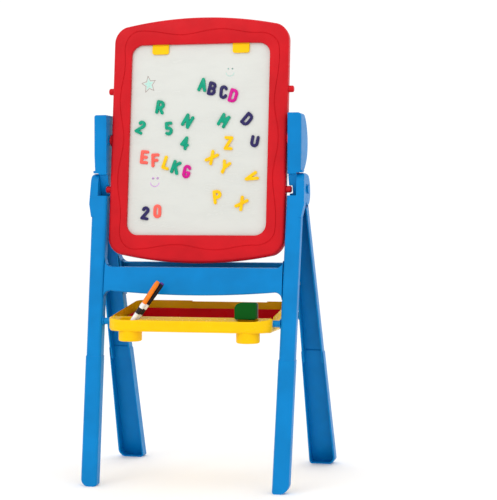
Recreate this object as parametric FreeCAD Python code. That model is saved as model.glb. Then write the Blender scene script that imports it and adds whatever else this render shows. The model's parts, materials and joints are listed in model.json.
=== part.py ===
import FreeCAD, Part
import math
import os

# Kids easel: a folding A-frame of moulded legs that carries a turning drawing board,
# a storage tray, magnetic letters and drawing tools. Millimetres, +Z up, the child
# stands on the -Y side, and the origin is on the floor under the middle of the easel.

# ---------------------------------------------------------------- driving dimensions
BASE_DEPTH = 418.0            # front of the front feet to the back of the rear feet
FRONT_LEAN = 9.9              # degrees from upright
REAR_LEAN = 21.95
FRONT_LEG_DEPTH = 24.0        # measured level, front face to open back
REAR_LEG_DEPTH = 32.0
WALL = 3.0
EDGE_R = 7.0                  # rounding of the legs' outer edges

SEAM_FRONT = 271.0            # height of the joint between lower and upper legs
SEAM_REAR = 268.0
SLEEVE_STEP = 1.2             # a lower leg is this much fatter than the upper leg
TONGUE = 26.0                 # the upper leg reaches this far into the lower leg

FRONT_IN_FOOT = 189.6         # inner edge of a front leg at the floor, then its slope
FRONT_IN_SLOPE = 0.0152
FRONT_WIDTH = 33.0
REAR_IN = 200.0
REAR_OUT_FOOT = 258.0
REAR_OUT_SLOPE = -0.04

PIVOT_Y, PIVOT_Z = -66.0, 734.5     # axis that the board turns about
HINGE_Y, HINGE_Z = -59.0, 628.0     # axis that the rear frame folds about
BOARD_LEAN = 6.58
BOARD_HALF_W = 194.5
BOARD_HALF_H = 267.0
BOARD_SHELL = 14.0                  # thickness of each of the two frame shells
OPENING_HALF_W = 154.0
OPENING_HALF_H = 208.0
PANEL_FACE = 6.0                    # the panels' outer faces stand this far from the mid plane
CORE_HALF = 5.4                     # half the thickness of the spacer between the panels
CORE_COLUMNS, CORE_ROWS = 6, 8
INDEX_RADIUS = 108.0                # index pins stand this far from the board pivot
INDEX_PIN_R = 7.25
INDEX_TIP_X = 206.0

EAR_IN, EAR_OUT = 219.0, 237.0
EAR_R = 34.0
EAR_CLEAR_R = 40.5
NOTCH_Z = 614.0
FOLD_PIN_R = 6.0
TONGUE_IN, TONGUE_OUT = 207.5, 218.3
RUN = 0.05                          # radial running clearance of every shaft

HUB_TOP, HUB_BOTTOM = 789.0, 655.0
HUB_CORNER = 662.8                  # the hub's lower edge over the ear
HUB_FRONT_Y = -97.0
HUB_R, HUB_CY, HUB_CZ = 69.0, -80.0, 727.0
HUB_OUT = 229.0
SHAFT_R = 8.0

TRAY_HALF_W = 178.0
TRAY_FRONT, TRAY_BACK = -185.0, 61.0
TRAY_FLOOR = 325.0
TRAY_RIM_FRONT, TRAY_RIM_BACK = 351.0, 380.0
LEDGE_BACK = -132.0
LEDGE_DROP = 1.5                    # ledge's surface below the rim
CUP_X, CUP_Y, CUP_R, CUP_FLOOR = 128.0, -157.0, 25.0, 305.0
TRAY_PIN_R = 7.0
FRONT_PIN_Y, FRONT_PIN_Z = -137.0, 345.0
REAR_PIN_Y, REAR_PIN_Z = 49.0, 350.0
TRAY_RATIO = 4.0                    # degrees the tray drops per degree of folding
LINER_DROP = 16.0                   # liner's edge below the tray's rim
RIM_R = 4.0
RIM_DIP = 2.5
RIM_DIP_X = (-48.0, 124.0)

CLIP_X = (-90.0, 89.5)
CLIP_HALF_W = 18.5
MAGNET_THICK = 3.5
MAGNET_H, MAGNET_W, MAGNET_STROKE = 30.0, 19.5, 6.6

SCREW_SHANK_R, SCREW_HEAD_R = 2.0, 3.6
SHELL_SCREW_HEAD_R = 3.4
CROSS_HALF = 0.5                    # half the width of a screw's cross slot

MARKER_R = 5.2
MARKER_LENGTH = 144.0
MARKER_BARREL = 0.61                # part of the length that the cap leaves open
MARKER_BASE_Z = 313.0
MARKERS = {"left": (-145.2, -163.2, 34.0), "right": (-144.4, -150.9, 36.6)}     # X, Y, lean
ERASER_X = (101.5, 147.0)
ERASER_Z = (354.9, 390.0)
ERASER_Y = (-171.0, -151.0, -143.0)     # front of the back, back to pad, rear of the pad

X_AXIS = FreeCAD.Vector(1, 0, 0)
Y_AXIS = FreeCAD.Vector(0, 1, 0)
Z_AXIS = FreeCAD.Vector(0, 0, 1)
ORIGIN = FreeCAD.Vector(0, 0, 0)
FRONT_TAN = math.tan(math.radians(FRONT_LEAN))
REAR_TAN = math.tan(math.radians(REAR_LEAN))


# ---------------------------------------------------------------- shape helpers
def vec(x, y, z):
    return FreeCAD.Vector(x, y, z)


def corner_wire(points, place):
    """Closed wire through (u, v, radius) points, each corner rounded to its radius."""
    count = len(points)
    spans = []
    for i in range(count):
        u, v, r = points[i]
        pu, pv, _ = points[i - 1]
        nu, nv, _ = points[(i + 1) % count]
        here = vec(u, v, 0)
        back = (vec(pu, pv, 0) - here).normalize()
        ahead = (vec(nu, nv, 0) - here).normalize()
        half = 0.5 * back.getAngle(ahead)
        if r <= 0 or half > 1.56:
            spans.append((here, None, here))
            continue
        reach = r / math.tan(half)
        middle = (back + ahead).normalize()
        arc_mid = here + middle * (r / math.sin(half) - r)
        spans.append((here + back * reach, arc_mid, here + ahead * reach))
    edges = []
    for i in range(count):
        start, mid, end = spans[i]
        if mid is not None:
            edges.append(Part.Arc(place(start), place(mid), place(end)).toShape())
        following = spans[(i + 1) % count][0]
        if (following - end).Length > 1e-6:
            edges.append(Part.makeLine(place(end), place(following)))
    return Part.Wire(edges)


def front_prism(points, y0, y1):
    """Outline in X and Z, run along Y."""
    wire = corner_wire(points, lambda p: vec(p.x, y0, p.y))
    return Part.Face(wire).extrude(vec(0, y1 - y0, 0))


def side_prism(points, x0, x1):
    """Outline in Y and Z, run along X."""
    wire = corner_wire(points, lambda p: vec(x0, p.x, p.y))
    return Part.Face(wire).extrude(vec(x1 - x0, 0, 0))


def plan_prism(points, z0, z1):
    """Outline in X and Y, run along Z."""
    wire = corner_wire(points, lambda p: vec(p.x, p.y, z0))
    return Part.Face(wire).extrude(vec(0, 0, z1 - z0))


def box(x0, x1, y0, y1, z0, z1):
    return Part.makeBox(x1 - x0, y1 - y0, z1 - z0, vec(x0, y0, z0))


def rod(r, x0, x1, y, z):
    return Part.makeCylinder(r, x1 - x0, vec(x0, y, z), X_AXIS)


def mirrored(shape):
    return shape.mirror(ORIGIN, X_AXIS)


def soften(shape, radius, wanted):
    """Fillet the edges that `wanted` picks, keeping the plain shape if they can't be."""
    edges = [edge for edge in shape.Edges if wanted(edge)]
    if not edges:
        return shape
    try:
        softened = shape.makeFillet(radius, edges)
    except Part.OCCError:
        print("plain edges kept at radius", radius)
        return shape
    return softened if softened.isValid() else shape


def save(name, shape):
    solids = shape.Solids
    if any(not solid.isValid() for solid in solids):
        print("invalid solid in", name)
    if len(solids) == 1:
        solids[0].exportStep("parts/" + name + ".step")
    else:
        Part.makeCompound(solids).exportStep("parts/" + name + ".step")


def save_pair(name, shape):
    """The shape is the +X one: right in the easel's own sense, its twin is mirrored."""
    save("right_" + name, shape)
    save("left_" + name, mirrored(shape))


# ---------------------------------------------------------------- leg lines
def front_face(z):
    return -0.5 * BASE_DEPTH + FRONT_TAN * z


def rear_back(z):
    return 0.5 * BASE_DEPTH - REAR_TAN * z


def front_in(z):
    return FRONT_IN_FOOT + FRONT_IN_SLOPE * z


def front_out(z):
    return front_in(z) + FRONT_WIDTH


def rear_out(z):
    return REAR_OUT_FOOT + REAR_OUT_SLOPE * z


def front_strip(z0, z1, x0, x1, front_inset=0.0, back_inset=0.0):
    """Slab that leans with the front legs, between two heights."""
    near, far = front_inset, FRONT_LEG_DEPTH - back_inset
    return side_prism([(front_face(z0) + near, z0, 0), (front_face(z1) + near, z1, 0),
                       (front_face(z1) + far, z1, 0), (front_face(z0) + far, z0, 0)], x0, x1)


def rear_strip(z0, z1, x0, x1, front_inset=0.0, back_inset=0.0):
    near, far = front_inset - REAR_LEG_DEPTH, -back_inset
    return side_prism([(rear_back(z0) + near, z0, 0), (rear_back(z1) + near, z1, 0),
                       (rear_back(z1) + far, z1, 0), (rear_back(z0) + far, z0, 0)], x0, x1)


def leaning_prism(x0, x1, y0, y1, slope_x, slope_y, z0, z1, radii):
    """Upright box with rounded plan corners, leant as it rises; sizes are at the floor."""
    near_in, near_out, far_out, far_in = radii
    low = plan_prism([(x0, y0, near_in), (x1, y0, near_out), (x1, y1, far_out),
                      (x0, y1, far_in)], 0, 1)
    wire = low.Faces[0]
    for face in low.Faces:
        if face.CenterOfMass.z < 1e-6:
            wire = face.OuterWire
    foot = Part.Face(wire)
    foot.translate(vec(slope_x * z0, slope_y * z0, z0))
    rise = z1 - z0
    return foot.extrude(vec(slope_x * rise, slope_y * rise, rise))


def front_bar(z0, z1, grow, inset, round_out=True):
    """Front leg stock between two heights, its two front edges rounded."""
    y0 = -0.5 * BASE_DEPTH + inset
    y1 = -0.5 * BASE_DEPTH + FRONT_LEG_DEPTH
    x0, x1 = FRONT_IN_FOOT - grow, FRONT_IN_FOOT + FRONT_WIDTH + grow
    if not round_out:
        x1 += 60
    return leaning_prism(x0, x1, y0, y1, FRONT_IN_SLOPE, FRONT_TAN, z0, z1,
                         (EDGE_R, EDGE_R if round_out else 0, 0, 0))


def rear_bar(z0, z1, grow, inset):
    """Rear leg stock between two heights, its two back edges rounded."""
    y1 = 0.5 * BASE_DEPTH - inset
    y0 = 0.5 * BASE_DEPTH - REAR_LEG_DEPTH
    inner = leaning_prism(REAR_IN - grow, 320, y0, y1, 0, -REAR_TAN, z0, z1, (0, 0, 0, EDGE_R))
    outer = leaning_prism(120, REAR_OUT_FOOT + grow, y0, y1, REAR_OUT_SLOPE, -REAR_TAN, z0, z1,
                          (0, 0, EDGE_R, 0))
    return inner.common(outer)


# ---------------------------------------------------------------- front frame
def front_lower_leg():
    grow = SLEEVE_STEP
    outline = [(front_in(0) - grow, 0, 6), (front_out(0) + grow, 0, 20),
               (front_out(SEAM_FRONT) + grow, SEAM_FRONT, 0),
               (front_in(SEAM_FRONT) - grow, SEAM_FRONT, 0)]
    leg = front_prism(outline, -230, 0).common(front_bar(0, SEAM_FRONT, grow, 0))
    inner = [(front_in(0) - grow + WALL, WALL, 6), (front_out(0) + grow - WALL, WALL, 18),
             (front_out(SEAM_FRONT + 5), SEAM_FRONT + 5, 0),
             (front_in(SEAM_FRONT + 5), SEAM_FRONT + 5, 0)]
    hollow = front_prism(inner, -230, 0).common(
        front_strip(-20, SEAM_FRONT + 5, 150, 260, WALL, -10))
    return leg.cut(hollow)


def front_upper_leg():
    top_in, seam_in = front_in(NOTCH_Z), front_in(SEAM_FRONT)
    outline = [(seam_in, SEAM_FRONT, 0), (front_out(SEAM_FRONT), SEAM_FRONT, 0),
               (front_out(568), 568, 30), (EAR_OUT, 596, 20), (EAR_OUT - 2, 662, 7),
               (EAR_IN, 662, 3), (EAR_IN, NOTCH_Z, 2), (top_in, NOTCH_Z, 2)]
    stock = front_bar(SEAM_FRONT, 568, 0, 0.8).fuse(front_bar(568, NOTCH_Z, 0, 0.8, False))
    leg = front_prism(outline, -230, 0).common(stock)
    hollow = front_prism([(seam_in + WALL, SEAM_FRONT - 5, 0),
                          (front_out(SEAM_FRONT) - WALL, SEAM_FRONT - 5, 0),
                          (front_out(575) - WALL, 575, 3), (front_in(575) + WALL, 575, 3)],
                         -230, 0).common(front_strip(200, 620, 150, 260, WALL + 0.8, -10))
    ear_side = side_prism([(front_face(600) + 0.8, 600, 0), (front_face(662) + 0.8, 662, 22),
                           (HINGE_Y, 662, 0), (HINGE_Y, HINGE_Z, 0),
                           (front_face(600) + FRONT_LEG_DEPTH, 600, 0)], EAR_IN, EAR_OUT)
    ear = ear_side.fuse(rod(EAR_R, EAR_IN, EAR_OUT, HINGE_Y, HINGE_Z))
    ear = ear.common(front_prism([(EAR_IN, 560, 0), (EAR_OUT + 5, 560, 0), (EAR_OUT, 596, 0),
                                  (EAR_OUT - 2, 662, 7), (EAR_IN, 662, 3)], -230, 0))
    leg = leg.cut(hollow).fuse(ear).removeSplitter()
    plug = front_prism([(seam_in + 0.3, SEAM_FRONT - TONGUE, 0),
                        (front_out(SEAM_FRONT - TONGUE) - 0.5, SEAM_FRONT - TONGUE, 0),
                        (front_out(SEAM_FRONT) - 0.5, SEAM_FRONT + 1, 0),
                        (seam_in + 0.5, SEAM_FRONT + 1, 0)], -230, 0)
    plug = plug.common(front_strip(SEAM_FRONT - TONGUE, SEAM_FRONT + 1, 150, 260, 3.4, 2))
    bore = front_prism([(seam_in + WALL, SEAM_FRONT - TONGUE - 2, 0),
                        (front_out(SEAM_FRONT) - WALL - 0.5, SEAM_FRONT - TONGUE - 2, 0),
                        (front_out(SEAM_FRONT) - WALL - 0.5, SEAM_FRONT + 3, 0),
                        (seam_in + WALL, SEAM_FRONT + 3, 0)], -230, 0)
    bore = bore.common(front_strip(SEAM_FRONT - 40, SEAM_FRONT + 5, 150, 260, 6.2, -10))
    leg = leg.fuse(plug).cut(bore)
    leg = leg.cut(rod(FOLD_PIN_R, EAR_IN - 1, EAR_OUT + 1, HINGE_Y, HINGE_Z))
    return leg.cut(screw_holes(True))


def crossbar(front):
    """Channel beam between two legs, flared where it meets them."""
    edge = (lambda z: front_in(z)) if front else (lambda z: REAR_IN)
    strip = front_strip if front else rear_strip
    top, low, dip = (461.0, 410.0, 402.0) if front else (468.0, 408.0, 404.0)
    flare = 15.0

    def outline(inset, ends):
        side = edge(0.5 * (top + low)) - ends
        high, base, sag = top - inset, low + inset, dip + inset
        near = flare * (1 - math.sqrt(0.5))

        def pt(x, z):
            return vec(x, -300, z)

        edges = [
            Part.makeLine(pt(-side, base - flare), pt(-side, high + flare)),
            Part.Arc(pt(-side, high + flare), pt(near - side, high + near),
                     pt(flare - side, high)).toShape(),
            Part.makeLine(pt(flare - side, high), pt(side - flare, high)),
            Part.Arc(pt(side - flare, high), pt(side - near, high + near),
                     pt(side, high + flare)).toShape(),
            Part.makeLine(pt(side, high + flare), pt(side, base - flare)),
            Part.Arc(pt(side, base - flare), pt(side - near, base - near),
                     pt(side - flare, base)).toShape(),
            Part.Arc(pt(side - flare, base), pt(0, sag), pt(flare - side, base)).toShape(),
            Part.Arc(pt(flare - side, base), pt(near - side, base - near),
                     pt(-side, base - flare)).toShape()]
        return Part.Face(Part.Wire(edges)).extrude(vec(0, 600, 0))

    beam = outline(0, 1.0).common(strip(360, 500, -230, 230, 2.5, 2))
    if front:
        hollow = outline(WALL, 4.5).common(strip(340, 520, -230, 230, 5.5, -20))
    else:
        hollow = outline(WALL, 4.5).common(strip(340, 520, -230, 230, -20, 5))
    if front:
        beam = soften(beam, 2.2, lambda e: e.Length > 300 and (
            e.CenterOfMass.y < front_face(e.CenterOfMass.z) + 4))
    return beam.cut(hollow).cut(screw_holes(front)).cut(mirrored(screw_holes(front)))


def screw_places(front):
    """Height and depth of the two screws that hold one end of a crossbar."""
    line = front_face if front else (lambda z: rear_back(z) - REAR_LEG_DEPTH)
    return [(z, line(z) + (13.0 if front else 15.0)) for z in (422.0, 450.0)]


def screw_start(front):
    return (front_in(436) if front else REAR_IN) + WALL


def screw_holes(front):
    start = screw_start(front)
    holes = [rod(SCREW_SHANK_R, start - 12, start + 2, y, z) for z, y in screw_places(front)]
    return Part.makeCompound(holes)


def crossbar_screws(front):
    start = screw_start(front) + (0.4 if front else 0.1)
    shapes = []
    for z, y in screw_places(front):
        head = rod(SCREW_HEAD_R, start, start + 2.4, y, z)
        shank = rod(SCREW_SHANK_R, start - 7.0, start, y, z)
        slot = box(start + 1.2, start + 3, y - CROSS_HALF, y + CROSS_HALF, z - 2.4, z + 2.4)
        cross = box(start + 1.2, start + 3, y - 2.4, y + 2.4, z - CROSS_HALF, z + CROSS_HALF)
        screw = head.fuse(shank).cut(slot).cut(cross)
        shapes += [screw, mirrored(screw)]
    return Part.makeCompound(shapes)


def fold_pin():
    """Pin that is pressed into the ear and turns in the rear frame's tongue."""
    shaft = rod(FOLD_PIN_R, TONGUE_IN, EAR_OUT, HINGE_Y, HINGE_Z)
    head = rod(10, EAR_OUT, EAR_OUT + 3, HINGE_Y, HINGE_Z)
    head = soften(head, 1.4, lambda e: e.CenterOfMass.x > EAR_OUT + 2.5)
    return shaft.fuse(head).removeSplitter()


def tray_pin(front):
    """Peg on a leg's inner side that the tray hangs on."""
    if front:
        start = front_in(FRONT_PIN_Z)
        y, z = FRONT_PIN_Y, FRONT_PIN_Z
    else:
        start, y, z = REAR_IN, REAR_PIN_Y, REAR_PIN_Z
    peg = rod(TRAY_PIN_R, TRAY_HALF_W - 4.5, start - 0.3, y, z)
    peg = soften(peg, 1.5, lambda e: e.CenterOfMass.x < TRAY_HALF_W - 4)
    flange = rod(TRAY_PIN_R + 3, start - 2.3, start - 0.3, y, z)
    return peg.fuse(flange).removeSplitter()


# ---------------------------------------------------------------- rear frame
def rear_lower_leg():
    grow = SLEEVE_STEP
    outline = [(REAR_IN - grow, 0, 8), (rear_out(0) + grow, 0, 17),
               (rear_out(SEAM_REAR) + grow, SEAM_REAR, 0), (REAR_IN - grow, SEAM_REAR, 0)]
    leg = front_prism(outline, -100, 230).common(rear_bar(0, SEAM_REAR, grow, 0))
    inner = [(REAR_IN - grow + WALL, WALL, 6), (rear_out(0) - WALL, WALL, 14),
             (rear_out(SEAM_REAR), SEAM_REAR + 5, 0), (REAR_IN, SEAM_REAR + 5, 0)]
    hollow = front_prism(inner, -100, 230).common(
        rear_strip(-20, SEAM_REAR + 5, 150, 280, -10, WALL))
    return leg.cut(hollow)


def hub_profile(inset):
    block = box(150, 300, HUB_FRONT_Y + inset, 40, HUB_BOTTOM + inset, HUB_TOP - inset)
    disc = rod(HUB_R - inset, 150, 300, HUB_CY, HUB_CZ)
    return block.common(disc)


def rear_upper_leg():
    outline = [(REAR_IN, SEAM_REAR, 0), (rear_out(SEAM_REAR), SEAM_REAR, 0),
               (rear_out(668), 668, 0), (REAR_IN, 668, 0)]
    leg = front_prism(outline, -150, 230).common(rear_bar(SEAM_REAR, 668, 0, 0.8))
    inner = [(REAR_IN + WALL, SEAM_REAR - 5, 0), (rear_out(SEAM_REAR) - WALL, SEAM_REAR - 5, 0),
             (rear_out(586) - WALL, 586, 0), (REAR_IN + WALL, 586, 0)]
    hollow = front_prism(inner, -150, 230).common(rear_strip(200, 600, 150, 280, -10, WALL + 0.8))
    taper = front_prism([(REAR_IN + 3.2, HUB_BOTTOM - 5, 0), (HUB_OUT - 2, HUB_BOTTOM - 5, 0),
                         (HUB_OUT, 700, 30), (HUB_OUT, HUB_TOP + 5, 0),
                         (REAR_IN + 3.2, HUB_TOP + 5, 0)], -150, 60)
    hub = hub_profile(0).common(taper)
    hub = soften(hub, 7, lambda e: e.CenterOfMass.x > HUB_OUT - 4 and (
        e.CenterOfMass.y < HUB_FRONT_Y + 2 or e.CenterOfMass.z > HUB_TOP - 2
        or e.CenterOfMass.y > HUB_CY + 20))
    room = hub_profile(WALL).common(box(190, HUB_OUT - WALL - 2, -200, 100, 672, 900))
    boss = rod(14, REAR_IN + 3.2, HUB_OUT - 1, PIVOT_Y, PIVOT_Z)
    hub = hub.cut(room).fuse(boss)
    top = leg.cut(hollow).fuse(hub)
    near_ear = rod(EAR_CLEAR_R, TONGUE_OUT, 300, HINGE_Y, HINGE_Z)
    low_corner = box(TONGUE_OUT, 300, -150, 60, 640, HUB_CORNER)
    ring = rod(INDEX_RADIUS + 8.5, 190, TONGUE_IN - 0.3, PIVOT_Y, PIVOT_Z).cut(
        rod(INDEX_RADIUS - 8.5, 189, TONGUE_IN, PIVOT_Y, PIVOT_Z))
    cover_room = hub_profile(0).common(box(REAR_IN - 1, REAR_IN + 3.1, -200, 100, 600, 900))
    top = top.cut(near_ear).cut(low_corner).cut(ring).cut(cover_room)
    top = top.cut(rod(FOLD_PIN_R + RUN, 190, 260, HINGE_Y, HINGE_Z))
    top = top.cut(rod(SHAFT_R + RUN, 190, HUB_OUT - 4, PIVOT_Y, PIVOT_Z))
    plug = front_prism([(REAR_IN + 0.4, SEAM_REAR - TONGUE, 0),
                        (rear_out(SEAM_REAR) - 0.6, SEAM_REAR - TONGUE, 0),
                        (rear_out(SEAM_REAR) - 0.6, SEAM_REAR + 1, 0),
                        (REAR_IN + 0.4, SEAM_REAR + 1, 0)], -150, 230)
    plug = plug.common(rear_strip(SEAM_REAR - TONGUE, SEAM_REAR + 1, 150, 280, 2, 3.4))
    bore = front_prism([(REAR_IN + WALL + 0.4, SEAM_REAR - 40, 0),
                        (rear_out(SEAM_REAR) - WALL - 0.6, SEAM_REAR - 40, 0),
                        (rear_out(SEAM_REAR) - WALL - 0.6, SEAM_REAR + 4, 0),
                        (REAR_IN + WALL + 0.4, SEAM_REAR + 4, 0)], -150, 230)
    bore = bore.common(rear_strip(SEAM_REAR - 50, SEAM_REAR + 5, 150, 280, -10, 6.4))
    top = top.fuse(plug).cut(bore)
    return top.cut(screw_holes(False))


def hub_cover():
    """Flat plate that closes the hub on the board's side, with the board shaft's hole."""
    plate = hub_profile(0).common(box(REAR_IN, REAR_IN + 3.0, -200, 100, 600, 900))
    plate = soften(plate, 1.2, lambda e: e.CenterOfMass.x < REAR_IN + 0.1)
    return plate.cut(rod(SHAFT_R + RUN, 190, 210, PIVOT_Y, PIVOT_Z))


# ---------------------------------------------------------------- turning board
def on_board(shape):
    """Move a shape built upright about the pivot to its leaning place on the easel."""
    moved = shape.copy()
    moved.rotate(ORIGIN, X_AXIS, -BOARD_LEAN)
    moved.translate(vec(0, PIVOT_Y, PIVOT_Z))
    return moved


def board_outline(y0, y1, inset=0.0):
    """Arched top and bottom, straight sides, rounded shoulders."""
    w, h = BOARD_HALF_W - inset, BOARD_HALF_H - inset
    side, shoulder_x, shoulder_z = h - 55, w - 36, h - 15.5
    corner_x, corner_z = w - 9.5, h - 28

    def pt(x, z):
        return vec(x, y0, z)

    edges = [Part.makeLine(pt(w, -side), pt(w, side)),
             Part.Arc(pt(w, side), pt(corner_x, corner_z), pt(shoulder_x, shoulder_z)).toShape(),
             Part.Arc(pt(shoulder_x, shoulder_z), pt(0, h), pt(-shoulder_x, shoulder_z)).toShape(),
             Part.Arc(pt(-shoulder_x, shoulder_z), pt(-corner_x, corner_z), pt(-w, side)).toShape(),
             Part.makeLine(pt(-w, side), pt(-w, -side)),
             Part.Arc(pt(-w, -side), pt(-corner_x, -corner_z),
                      pt(-shoulder_x, -shoulder_z)).toShape(),
             Part.Arc(pt(-shoulder_x, -shoulder_z), pt(0, -h), pt(shoulder_x, -shoulder_z)).toShape(),
             Part.Arc(pt(shoulder_x, -shoulder_z), pt(corner_x, -corner_z), pt(w, -side)).toShape()]
    return Part.Face(Part.Wire(edges)).extrude(vec(0, y1 - y0, 0))


def rounded_slab(half_w, half_h, r, y0, y1):
    return front_prism([(-half_w, -half_h, r), (half_w, -half_h, r),
                        (half_w, half_h, r), (-half_w, half_h, r)], y0, y1)


def frame_shell(front):
    """One half of the board's frame: a ring with a rebate that the panels sit in."""
    shell = board_outline(-BOARD_SHELL, 0)
    shell = soften(shell, 5, lambda e: e.CenterOfMass.y < 0.1 - BOARD_SHELL)
    shell = shell.cut(rounded_slab(OPENING_HALF_W, OPENING_HALF_H, 25, -20, 5))
    shell = soften(shell, 2, lambda e: e.CenterOfMass.y < 0.1 - BOARD_SHELL and abs(
        e.CenterOfMass.x) < OPENING_HALF_W + 1 and abs(e.CenterOfMass.z) < OPENING_HALF_H + 1)
    shell = shell.cut(rounded_slab(OPENING_HALF_W + 6.3, OPENING_HALF_H + 6.3, 12,
                                   -PANEL_FACE - 0.1, 5))
    room = board_outline(WALL - BOARD_SHELL, 1, WALL).cut(
        rounded_slab(OPENING_HALF_W + 9.3, OPENING_HALF_H + 9.3, 12, -20, 5))
    shell = shell.cut(room)
    if not front:
        return on_board(shell.mirror(ORIGIN, Y_AXIS))
    for x in CLIP_X:
        shell = shell.cut(box(x - CLIP_HALF_W - 1, x + CLIP_HALF_W + 1, -11.6, -1.5, 206, 217))
    return on_board(shell)


def panel(y0, y1):
    """Drawing sheet that fills the opening, its top edge kept clear of the clips' barrels."""
    half_w, low, high = OPENING_HALF_W + 6, -OPENING_HALF_H - 5, OPENING_HALF_H + 0.9
    return on_board(front_prism([(-half_w, low, 10), (half_w, low, 10), (half_w, high, 10),
                                 (-half_w, high, 10)], y0, y1))


def board_core():
    """Light spacer grid between the two panels."""
    core = rounded_slab(OPENING_HALF_W + 6, OPENING_HALF_H - 3, 10, -CORE_HALF, CORE_HALF)
    pitch_x = 2 * (OPENING_HALF_W + 4) / CORE_COLUMNS
    pitch_z = 2 * (OPENING_HALF_H - 5) / CORE_ROWS
    for column in range(CORE_COLUMNS):
        for row in range(CORE_ROWS):
            x = (column + 0.5 - 0.5 * CORE_COLUMNS) * pitch_x
            z = (row + 0.5 - 0.5 * CORE_ROWS) * pitch_z
            half_x, half_z = 0.5 * pitch_x - 1.5, 0.5 * pitch_z - 1.5
            core = core.cut(box(x - half_x, x + half_x, -20, 20, z - half_z, z + half_z))
    return on_board(core)


def board_pivots():
    """Flanged stub shaft on the board's edge, one each side."""
    flange = rod(13, BOARD_HALF_W, BOARD_HALF_W + 2.5, 0, 0)
    shaft = rod(SHAFT_R, BOARD_HALF_W, HUB_OUT - 6, 0, 0)
    return on_board(flange.fuse(shaft).removeSplitter())


def index_pins():
    shapes = []
    for z in (-INDEX_RADIUS, INDEX_RADIUS):
        pin = rod(INDEX_PIN_R, BOARD_HALF_W, INDEX_TIP_X, 0, z)
        pin = soften(pin, 3.5, lambda e: e.CenterOfMass.x > INDEX_TIP_X - 0.5)
        shapes.append(on_board(pin))
    return Part.makeCompound(shapes)


def frame_screws():
    """Screws that hold the two board shells together, driven from the back shell."""
    shapes = []
    for x in (-174.0, 174.0):
        for z in (-200.0, -70.0, 70.0, 200.0):
            head = Part.makeCylinder(SHELL_SCREW_HEAD_R, 2.0, vec(x, BOARD_SHELL, z), Y_AXIS)
            near, far = BOARD_SHELL + 1.1, BOARD_SHELL + 3
            slot = box(x - 2.3, x + 2.3, near, far, z - CROSS_HALF, z + CROSS_HALF)
            cross = box(x - CROSS_HALF, x + CROSS_HALF, near, far, z - 2.3, z + 2.3)
            shapes.append(on_board(head.cut(slot).cut(cross)))
    return Part.makeCompound(shapes)


def paper_clip(x):
    """Spring clip at the top of the drawing panel."""
    barrel = rod(2.4, x - CLIP_HALF_W, x + CLIP_HALF_W, -7.0, 212)
    arm = box(x - CLIP_HALF_W, x + CLIP_HALF_W, -9.2, -6.4, 200, 212)
    plate = front_prism([(x - CLIP_HALF_W, 187, 5), (x + CLIP_HALF_W, 187, 5),
                         (x + CLIP_HALF_W, 205.5, 1), (x - CLIP_HALF_W, 205.5, 1)], -10.6, -6.4)
    plate = soften(plate, 1.0, lambda e: e.CenterOfMass.y < -10.5)
    return on_board(barrel.fuse(arm).fuse(plate).removeSplitter())


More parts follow.
